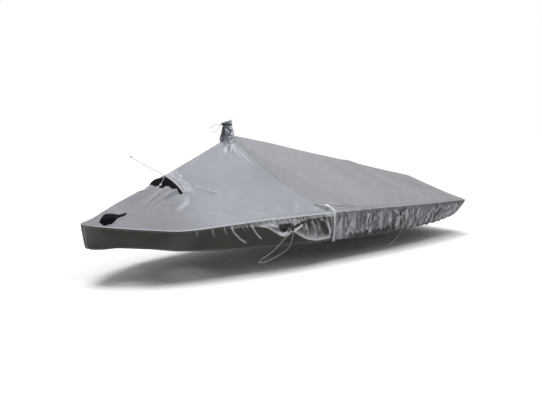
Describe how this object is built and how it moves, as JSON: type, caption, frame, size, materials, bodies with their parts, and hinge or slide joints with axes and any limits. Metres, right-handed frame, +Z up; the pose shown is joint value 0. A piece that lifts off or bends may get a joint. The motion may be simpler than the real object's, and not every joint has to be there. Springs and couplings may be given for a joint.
{
  "type": "boat cover",
  "caption": "Grey polyester mast-up cover for a small sailing dinghy, with a mast collar, bow vent, gathered skirt, shroud straps and tie-downs",
  "frame": {"origin": "On the mast's axis, 0.93 m above the deck datum, under the peak where the cover rests on the mast and boom", "axes": "+X aft along the boat's centre line, +Y to starboard, +Z up"},
  "size_m": [5.52, 1.935, 1.6062],
  "materials": {
    "top_cloth": "woven polyester, satin coating, light grey",
    "skirt_cloth": "woven polyester, satin coating, darker grey",
    "collar_cloth": "woven polyester, wrinkled, grey",
    "hood_cloth": "woven polyester, two layers, wrinkled, light grey",
    "strap_webbing": "woven webbing, off-white",
    "tab_webbing": "woven webbing, black",
    "cord": "braided polyester cord, pale grey"
  },
  "bodies": {
    "root": {"collar_tie_end_a": "cord", "collar_tie_end_b": "cord", "collar_tie_knot": "cord", "collar_tie_turns": "cord", "mast_collar": "collar_cloth", "shroud_strap_port": "strap_webbing", "shroud_strap_starboard": "strap_webbing", "skirt_aft_port": "skirt_cloth", "skirt_aft_starboard": "skirt_cloth", "skirt_fore_port": "skirt_cloth", "skirt_fore_starboard": "skirt_cloth", "skirt_transom": "skirt_cloth", "tie_cord_port_1a": "cord", "tie_cord_port_1b": "cord", "tie_cord_port_2a": "cord", "tie_cord_port_2b": "cord", "tie_cord_starboard_1a": "cord", "tie_cord_starboard_1b": "cord", "tie_cord_starboard_2a": "cord", "tie_cord_starboard_2b": "cord", "tie_end_port_1": "cord", "tie_end_port_2": "cord", "tie_end_starboard_1": "cord", "tie_end_starboard_2": "cord", "tie_knot_port_1": "cord", "tie_knot_port_2": "cord", "tie_knot_starboard_1": "cord", "tie_knot_starboard_2": "cord", "tie_tab_port_1": "tab_webbing", "tie_tab_port_2": "tab_webbing", "tie_tab_starboard_1": "tab_webbing", "tie_tab_starboard_2": "tab_webbing", "top_aft": "top_cloth", "top_fore": "top_cloth", "vent_cord": "cord", "vent_cord_end": "cord", "vent_hood": "hood_cloth", "vent_lift_knot": "cord", "vent_lift_line": "cord", "vent_toggle": "cord"}
  },
  "joints": []
}
